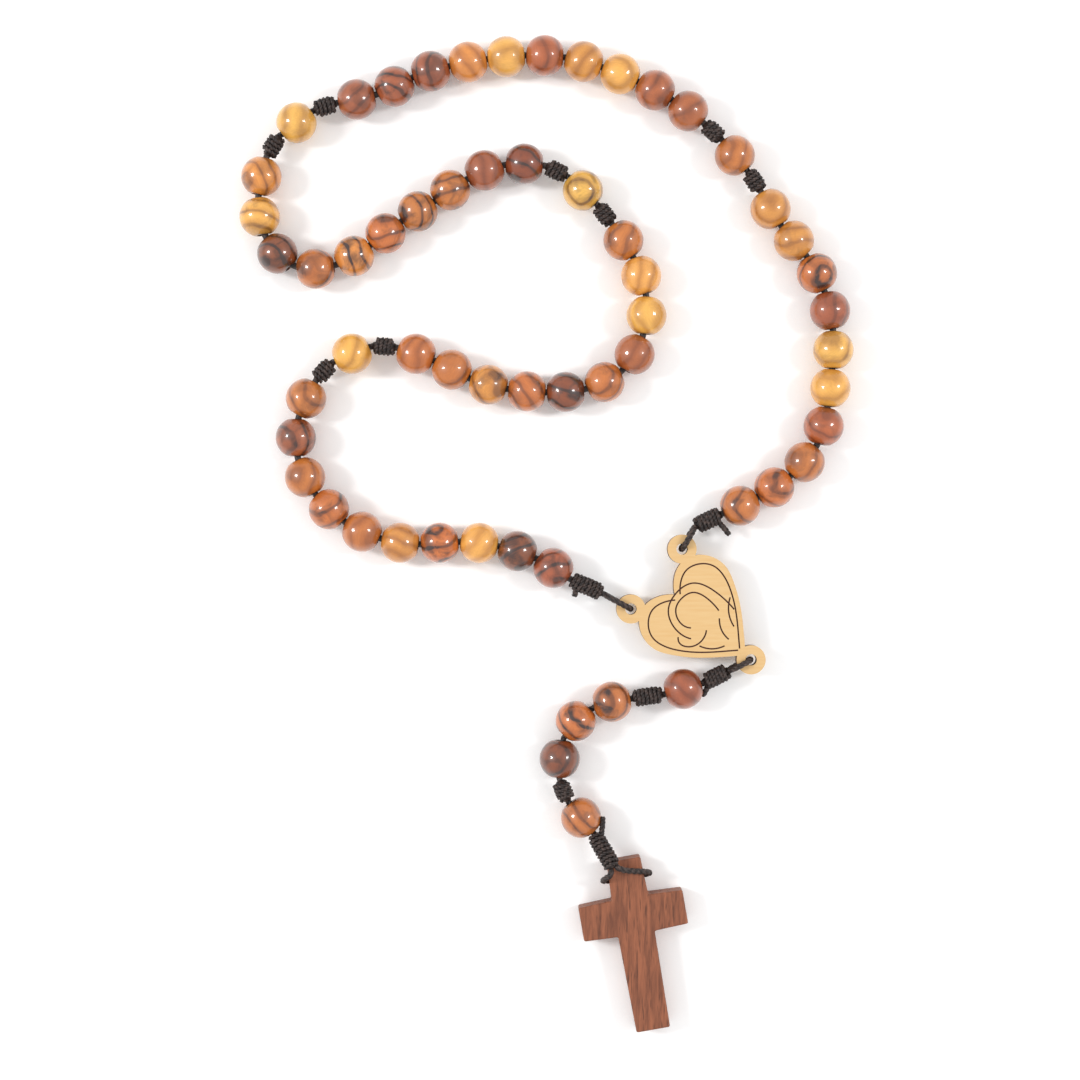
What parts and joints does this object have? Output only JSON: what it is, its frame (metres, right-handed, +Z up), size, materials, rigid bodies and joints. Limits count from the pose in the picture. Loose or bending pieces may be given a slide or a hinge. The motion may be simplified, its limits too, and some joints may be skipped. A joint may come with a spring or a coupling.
{
  "type": "rosary",
  "caption": "Five-decade rosary of round wooden beads on knotted cord, with an engraved heart medal and a wooden cross.",
  "frame": {"origin": "centre of the footprint at floor level, laid flat", "axes": "+X across the loop, +Y from the cross towards the top of the loop, +Z up from the floor"},
  "size_m": [0.1228, 0.1992, 0.0084],
  "materials": {
    "varnished_olive_wood": "glossy varnish over streaked olive wood",
    "waxed_cord": "waxed twisted cord, near-black brown",
    "pale_engraved_wood": "bare pale wood with burnt edges and engraving",
    "brown_cross_wood": "matt stained wood"
  },
  "bodies": {
    "loop": {"loop_cord": "waxed_cord"},
    "medal": {"medal": "pale_engraved_wood"},
    "pendant": {"pendant_cord": "waxed_cord", "pendant_our_father_beads": "varnished_olive_wood", "pendant_hail_mary_beads": "varnished_olive_wood"},
    "cross": {"cross": "brown_cross_wood"},
    "decade_1_bead_01": {"decade_1_bead_01": "varnished_olive_wood"},
    "decade_1_bead_02": {"decade_1_bead_02": "varnished_olive_wood"},
    "decade_1_bead_03": {"decade_1_bead_03": "varnished_olive_wood"},
    "decade_1_bead_04": {"decade_1_bead_04": "varnished_olive_wood"},
    "decade_1_bead_05": {"decade_1_bead_05": "varnished_olive_wood"},
    "decade_1_bead_06": {"decade_1_bead_06": "varnished_olive_wood"},
    "decade_1_bead_07": {"decade_1_bead_07": "varnished_olive_wood"},
    "decade_1_bead_08": {"decade_1_bead_08": "varnished_olive_wood"},
    "decade_1_bead_09": {"decade_1_bead_09": "varnished_olive_wood"},
    "decade_1_bead_10": {"decade_1_bead_10": "varnished_olive_wood"},
    "our_father_bead_1": {"our_father_bead_1": "varnished_olive_wood"},
    "decade_2_bead_01": {"decade_2_bead_01": "varnished_olive_wood"},
    "decade_2_bead_02": {"decade_2_bead_02": "varnished_olive_wood"},
    "decade_2_bead_03": {"decade_2_bead_03": "varnished_olive_wood"},
    "decade_2_bead_04": {"decade_2_bead_04": "varnished_olive_wood"},
    "decade_2_bead_05": {"decade_2_bead_05": "varnished_olive_wood"},
    "decade_2_bead_06": {"decade_2_bead_06": "varnished_olive_wood"},
    "decade_2_bead_07": {"decade_2_bead_07": "varnished_olive_wood"},
    "decade_2_bead_08": {"decade_2_bead_08": "varnished_olive_wood"},
    "decade_2_bead_09": {"decade_2_bead_09": "varnished_olive_wood"},
    "decade_2_bead_10": {"decade_2_bead_10": "varnished_olive_wood"},
    "our_father_bead_2": {"our_father_bead_2": "varnished_olive_wood"},
    "decade_3_bead_01": {"decade_3_bead_01": "varnished_olive_wood"},
    "decade_3_bead_02": {"decade_3_bead_02": "varnished_olive_wood"},
    "decade_3_bead_03": {"decade_3_bead_03": "varnished_olive_wood"},
    "decade_3_bead_04": {"decade_3_bead_04": "varnished_olive_wood"},
    "decade_3_bead_05": {"decade_3_bead_05": "varnished_olive_wood"},
    "decade_3_bead_06": {"decade_3_bead_06": "varnished_olive_wood"},
    "decade_3_bead_07": {"decade_3_bead_07": "varnished_olive_wood"},
    "decade_3_bead_08": {"decade_3_bead_08": "varnished_olive_wood"},
    "decade_3_bead_09": {"decade_3_bead_09": "varnished_olive_wood"},
    "decade_3_bead_10": {"decade_3_bead_10": "varnished_olive_wood"},
    "our_father_bead_3": {"our_father_bead_3": "varnished_olive_wood"},
    "decade_4_bead_01": {"decade_4_bead_01": "varnished_olive_wood"},
    "decade_4_bead_02": {"decade_4_bead_02": "varnished_olive_wood"},
    "decade_4_bead_03": {"decade_4_bead_03": "varnished_olive_wood"},
    "decade_4_bead_04": {"decade_4_bead_04": "varnished_olive_wood"},
    "decade_4_bead_05": {"decade_4_bead_05": "varnished_olive_wood"},
    "decade_4_bead_06": {"decade_4_bead_06": "varnished_olive_wood"},
    "decade_4_bead_07": {"decade_4_bead_07": "varnished_olive_wood"},
    "decade_4_bead_08": {"decade_4_bead_08": "varnished_olive_wood"},
    "decade_4_bead_09": {"decade_4_bead_09": "varnished_olive_wood"},
    "decade_4_bead_10": {"decade_4_bead_10": "varnished_olive_wood"},
    "our_father_bead_4": {"our_father_bead_4": "varnished_olive_wood"},
    "decade_5_bead_01": {"decade_5_bead_01": "varnished_olive_wood"},
    "decade_5_bead_02": {"decade_5_bead_02": "varnished_olive_wood"},
    "decade_5_bead_03": {"decade_5_bead_03": "varnished_olive_wood"},
    "decade_5_bead_04": {"decade_5_bead_04": "varnished_olive_wood"},
    "decade_5_bead_05": {"decade_5_bead_05": "varnished_olive_wood"},
    "decade_5_bead_06": {"decade_5_bead_06": "varnished_olive_wood"},
    "decade_5_bead_07": {"decade_5_bead_07": "varnished_olive_wood"},
    "decade_5_bead_08": {"decade_5_bead_08": "varnished_olive_wood"},
    "decade_5_bead_09": {"decade_5_bead_09": "varnished_olive_wood"},
    "decade_5_bead_10": {"decade_5_bead_10": "varnished_olive_wood"}
  },
  "joints": [
    {"name": "medal_tilt", "type": "hinge", "parent": "loop", "child": "medal", "pos_m": [0.02191, -0.00908, 0.00405], "axis": [0.6494, 0.7604, 0], "range_deg": [-10, 10]},
    {"name": "pendant_swing", "type": "hinge", "parent": "medal", "child": "pendant", "pos_m": [0.04076, -0.02518, 0.00405], "axis": [0, 0, 1], "range_deg": [-4, 110]},
    {"name": "cross_swing", "type": "hinge", "parent": "pendant", "child": "cross", "pos_m": [0.01604, -0.06903, 0.0025], "axis": [-0.9848, -0.1736, 0], "range_deg": [0, 45]},
    {"name": "decade_1_bead_01_spin", "type": "hinge", "parent": "loop", "child": "decade_1_bead_01", "pos_m": [0.03869, 0.00554, 0.00405], "axis": [0.9113, 0.4117, 0], "continuous": true},
    {"name": "decade_1_bead_02_spin", "type": "hinge", "parent": "loop", "child": "decade_1_bead_02", "pos_m": [0.04552, 0.00921, 0.00405], "axis": [0.8454, 0.5342, 0], "continuous": true},
    {"name": "decade_1_bead_03_spin", "type": "hinge", "parent": "loop", "child": "decade_1_bead_03", "pos_m": [0.05159, 0.01427, 0.00405], "axis": [0.679, 0.7341, 0], "continuous": true},
    {"name": "decade_1_bead_04_spin", "type": "hinge", "parent": "loop", "child": "decade_1_bead_04", "pos_m": [0.05539, 0.02146, 0.00405], "axis": [0.2241, 0.9746, 0], "continuous": true},
    {"name": "decade_1_bead_05_spin", "type": "hinge", "parent": "loop", "child": "decade_1_bead_05", "pos_m": [0.05673, 0.02904, 0.00405], "axis": [0.1217, 0.9926, 0], "continuous": true},
    {"name": "decade_1_bead_06_spin", "type": "hinge", "parent": "loop", "child": "decade_1_bead_06", "pos_m": [0.05733, 0.0367, 0.00405], "axis": [0.0353, 0.9994, 0], "continuous": true},
    {"name": "decade_1_bead_07_spin", "type": "hinge", "parent": "loop", "child": "decade_1_bead_07", "pos_m": [0.05665, 0.04455, 0.00405], "axis": [-0.206, 0.9785, 0], "continuous": true},
    {"name": "decade_1_bead_08_spin", "type": "hinge", "parent": "loop", "child": "decade_1_bead_08", "pos_m": [0.05403, 0.05201, 0.00405], "axis": [-0.4509, 0.8926, 0], "continuous": true},
    {"name": "decade_1_bead_09_spin", "type": "hinge", "parent": "loop", "child": "decade_1_bead_09", "pos_m": [0.04945, 0.05849, 0.00405], "axis": [-0.6911, 0.7228, 0], "continuous": true},
    {"name": "decade_1_bead_10_spin", "type": "hinge", "parent": "loop", "child": "decade_1_bead_10", "pos_m": [0.04477, 0.06487, 0.00405], "axis": [-0.4817, 0.8764, 0], "continuous": true},
    {"name": "our_father_bead_1_spin", "type": "hinge", "parent": "loop", "child": "our_father_bead_1", "pos_m": [0.03764, 0.07557, 0.00405], "axis": [-0.6393, 0.7689, 0], "continuous": true},
    {"name": "decade_2_bead_01_spin", "type": "hinge", "parent": "loop", "child": "decade_2_bead_01", "pos_m": [0.0283, 0.08444, 0.00405], "axis": [-0.7954, 0.6061, 0], "continuous": true},
    {"name": "decade_2_bead_02_spin", "type": "hinge", "parent": "loop", "child": "decade_2_bead_02", "pos_m": [0.02171, 0.08861, 0.00405], "axis": [-0.8883, 0.4592, 0], "continuous": true},
    {"name": "decade_2_bead_03_spin", "type": "hinge", "parent": "loop", "child": "decade_2_bead_03", "pos_m": [0.01475, 0.09183, 0.00405], "axis": [-0.9249, 0.3802, 0], "continuous": true},
    {"name": "decade_2_bead_04_spin", "type": "hinge", "parent": "loop", "child": "decade_2_bead_04", "pos_m": [0.00743, 0.09433, 0.00405], "axis": [-0.9643, 0.2649, 0], "continuous": true},
    {"name": "decade_2_bead_05_spin", "type": "hinge", "parent": "loop", "child": "decade_2_bead_05", "pos_m": [-0.00034, 0.09554, 0.00405], "axis": [-0.9991, 0.0412, 0], "continuous": true},
    {"name": "decade_2_bead_06_spin", "type": "hinge", "parent": "loop", "child": "decade_2_bead_06", "pos_m": [-0.00808, 0.09532, 0.00405], "axis": [-0.9951, -0.0984, 0], "continuous": true},
    {"name": "decade_2_bead_07_spin", "type": "hinge", "parent": "loop", "child": "decade_2_bead_07", "pos_m": [-0.01568, 0.09423, 0.00405], "axis": [-0.9828, -0.1849, 0], "continuous": true},
    {"name": "decade_2_bead_08_spin", "type": "hinge", "parent": "loop", "child": "decade_2_bead_08", "pos_m": [-0.02317, 0.09241, 0.00405], "axis": [-0.958, -0.2868, 0], "continuous": true},
    {"name": "decade_2_bead_09_spin", "type": "hinge", "parent": "loop", "child": "decade_2_bead_09", "pos_m": [-0.0304, 0.08939, 0.00405], "axis": [-0.8772, -0.4801, 0], "continuous": true},
    {"name": "decade_2_bead_10_spin", "type": "hinge", "parent": "loop", "child": "decade_2_bead_10", "pos_m": [-0.03794, 0.08677, 0.00405], "axis": [-0.9859, -0.1675, 0], "continuous": true},
    {"name": "our_father_bead_2_spin", "type": "hinge", "parent": "loop", "child": "our_father_bead_2", "pos_m": [-0.04997, 0.08211, 0.00405], "axis": [-0.8015, -0.5979, 0], "continuous": true},
    {"name": "decade_3_bead_01_spin", "type": "hinge", "parent": "loop", "child": "decade_3_bead_01", "pos_m": [-0.05698, 0.07135, 0.00405], "axis": [-0.2429, -0.9701, 0], "continuous": true},
    {"name": "decade_3_bead_02_spin", "type": "hinge", "parent": "loop", "child": "decade_3_bead_02", "pos_m": [-0.05733, 0.06331, 0.00405], "axis": [0.1581, -0.9874, 0], "continuous": true},
    {"name": "decade_3_bead_03_spin", "type": "hinge", "parent": "loop", "child": "decade_3_bead_03", "pos_m": [-0.05379, 0.05595, 0.00405], "axis": [0.673, -0.7396, 0], "continuous": true},
    {"name": "decade_3_bead_04_spin", "type": "hinge", "parent": "loop", "child": "decade_3_bead_04", "pos_m": [-0.04615, 0.05292, 0.00405], "axis": [0.9971, 0.0767, 0], "continuous": true},
    {"name": "decade_3_bead_05_spin", "type": "hinge", "parent": "loop", "child": "decade_3_bead_05", "pos_m": [-0.03845, 0.05548, 0.00405], "axis": [0.8453, 0.5343, 0], "continuous": true},
    {"name": "decade_3_bead_06_spin", "type": "hinge", "parent": "loop", "child": "decade_3_bead_06", "pos_m": [-0.03218, 0.05999, 0.00405], "axis": [0.7743, 0.6328, 0], "continuous": true},
    {"name": "decade_3_bead_07_spin", "type": "hinge", "parent": "loop", "child": "decade_3_bead_07", "pos_m": [-0.02574, 0.06438, 0.00405], "axis": [0.8721, 0.4894, 0], "continuous": true},
    {"name": "decade_3_bead_08_spin", "type": "hinge", "parent": "loop", "child": "decade_3_bead_08", "pos_m": [-0.01926, 0.06864, 0.00405], "axis": [0.7958, 0.6056, 0], "continuous": true},
    {"name": "decade_3_bead_09_spin", "type": "hinge", "parent": "loop", "child": "decade_3_bead_09", "pos_m": [-0.0124, 0.07257, 0.00405], "axis": [0.925, 0.38, 0], "continuous": true},
    {"name": "decade_3_bead_10_spin", "type": "hinge", "parent": "loop", "child": "decade_3_bead_10", "pos_m": [-0.00442, 0.07388, 0.00405], "axis": [0.998, -0.0631, 0], "continuous": true},
    {"name": "our_father_bead_3_spin", "type": "hinge", "parent": "loop", "child": "our_father_bead_3", "pos_m": [0.00726, 0.06858, 0.00405], "axis": [0.7228, -0.691, 0], "continuous": true},
    {"name": "decade_4_bead_01_spin", "type": "hinge", "parent": "loop", "child": "decade_4_bead_01", "pos_m": [0.01537, 0.05859, 0.00405], "axis": [0.5625, -0.8268, 0], "continuous": true},
    {"name": "decade_4_bead_02_spin", "type": "hinge", "parent": "loop", "child": "decade_4_bead_02", "pos_m": [0.01892, 0.05152, 0.00405], "axis": [0.3281, -0.9446, 0], "continuous": true},
    {"name": "decade_4_bead_03_spin", "type": "hinge", "parent": "loop", "child": "decade_4_bead_03", "pos_m": [0.01998, 0.04354, 0.00405], "axis": [-0.0696, -0.9976, 0], "continuous": true},
    {"name": "decade_4_bead_04_spin", "type": "hinge", "parent": "loop", "child": "decade_4_bead_04", "pos_m": [0.01761, 0.03581, 0.00405], "axis": [-0.5024, -0.8646, 0], "continuous": true},
    {"name": "decade_4_bead_05_spin", "type": "hinge", "parent": "loop", "child": "decade_4_bead_05", "pos_m": [0.0116, 0.03026, 0.00405], "axis": [-0.9013, -0.4332, 0], "continuous": true},
    {"name": "decade_4_bead_06_spin", "type": "hinge", "parent": "loop", "child": "decade_4_bead_06", "pos_m": [0.0038, 0.02829, 0.00405], "axis": [-0.9989, -0.0459, 0], "continuous": true},
    {"name": "decade_4_bead_07_spin", "type": "hinge", "parent": "loop", "child": "decade_4_bead_07", "pos_m": [-0.00392, 0.02841, 0.00405], "axis": [-0.9971, 0.0761, 0], "continuous": true},
    {"name": "decade_4_bead_08_spin", "type": "hinge", "parent": "loop", "child": "decade_4_bead_08", "pos_m": [-0.01163, 0.02975, 0.00405], "axis": [-0.9643, 0.2649, 0], "continuous": true},
    {"name": "decade_4_bead_09_spin", "type": "hinge", "parent": "loop", "child": "decade_4_bead_09", "pos_m": [-0.01892, 0.03275, 0.00405], "axis": [-0.8718, 0.4899, 0], "continuous": true},
    {"name": "decade_4_bead_10_spin", "type": "hinge", "parent": "loop", "child": "decade_4_bead_10", "pos_m": [-0.02608, 0.03591, 0.00405], "axis": [-0.9491, 0.315, 0], "continuous": true},
    {"name": "our_father_bead_4_spin", "type": "hinge", "parent": "loop", "child": "our_father_bead_4", "pos_m": [-0.03888, 0.03594, 0.00405], "axis": [-0.9228, -0.3853, 0], "continuous": true},
    {"name": "decade_5_bead_01_spin", "type": "hinge", "parent": "loop", "child": "decade_5_bead_01", "pos_m": [-0.04806, 0.02699, 0.00405], "axis": [-0.4717, -0.8818, 0], "continuous": true},
    {"name": "decade_5_bead_02_spin", "type": "hinge", "parent": "loop", "child": "decade_5_bead_02", "pos_m": [-0.05009, 0.01915, 0.00405], "axis": [-0.0169, -0.9999, 0], "continuous": true},
    {"name": "decade_5_bead_03_spin", "type": "hinge", "parent": "loop", "child": "decade_5_bead_03", "pos_m": [-0.04825, 0.01124, 0.00405], "axis": [0.4572, -0.8894, 0], "continuous": true},
    {"name": "decade_5_bead_04_spin", "type": "hinge", "parent": "loop", "child": "decade_5_bead_04", "pos_m": [-0.04348, 0.00485, 0.00405], "axis": [0.7229, -0.691, 0], "continuous": true},
    {"name": "decade_5_bead_05_spin", "type": "hinge", "parent": "loop", "child": "decade_5_bead_05", "pos_m": [-0.03687, 0.00037, 0.00405], "axis": [0.9089, -0.417, 0], "continuous": true},
    {"name": "decade_5_bead_06_spin", "type": "hinge", "parent": "loop", "child": "decade_5_bead_06", "pos_m": [-0.02924, -0.00184, 0.00405], "axis": [0.9911, -0.1327, 0], "continuous": true},
    {"name": "decade_5_bead_07_spin", "type": "hinge", "parent": "loop", "child": "decade_5_bead_07", "pos_m": [-0.02134, -0.00186, 0.00405], "axis": [0.9918, 0.1281, 0], "continuous": true},
    {"name": "decade_5_bead_08_spin", "type": "hinge", "parent": "loop", "child": "decade_5_bead_08", "pos_m": [-0.01343, -0.00188, 0.00405], "axis": [0.9911, -0.1328, 0], "continuous": true},
    {"name": "decade_5_bead_09_spin", "type": "hinge", "parent": "loop", "child": "decade_5_bead_09", "pos_m": [-0.00583, -0.00351, 0.00405], "axis": [0.9581, -0.2863, 0], "continuous": true},
    {"name": "decade_5_bead_10_spin", "type": "hinge", "parent": "loop", "child": "decade_5_bead_10", "pos_m": [0.00136, -0.00689, 0.00405], "axis": [0.8322, -0.5545, 0], "continuous": true}
  ]
}
